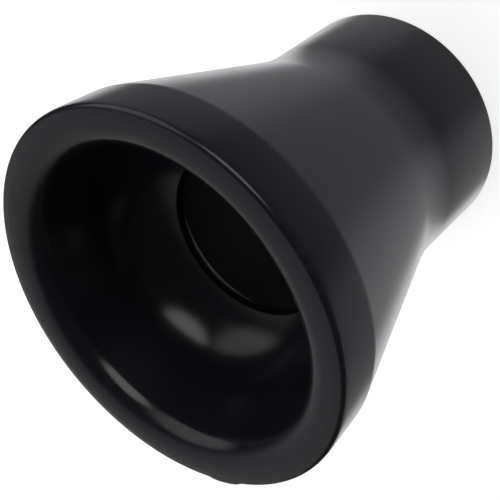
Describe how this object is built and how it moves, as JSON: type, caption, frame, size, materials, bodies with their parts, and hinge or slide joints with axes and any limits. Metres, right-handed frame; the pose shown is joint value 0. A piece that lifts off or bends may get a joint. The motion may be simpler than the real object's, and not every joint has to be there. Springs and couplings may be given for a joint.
{
  "type": "eye loupe",
  "caption": "Watchmaker's eye loupe: flared black eyecup with a thick rounded lip and a round bowl with a hole in its floor, and a straight barrel that holds two magnifying glasses under a screwed ring.",
  "frame": {"origin": "centre of the barrel's end face, on which the loupe stands with its mouth up", "axes": "+Z along the axis from the barrel end to the mouth; the trimmed gate on the lip lies 150 degrees from +X towards +Y, and the ring's notches lie along X"},
  "size_m": [0.036, 0.036, 0.037],
  "materials": {
    "black_plastic": "semi-gloss injection-moulded black plastic",
    "matt_plastic": "matt black plastic",
    "glass": "clear polished optical glass"
  },
  "bodies": {
    "root": {"body": "black_plastic", "field_lens": "glass", "spacer_ring": "matt_plastic", "eye_lens": "glass", "retaining_ring": "matt_plastic"}
  },
  "joints": []
}
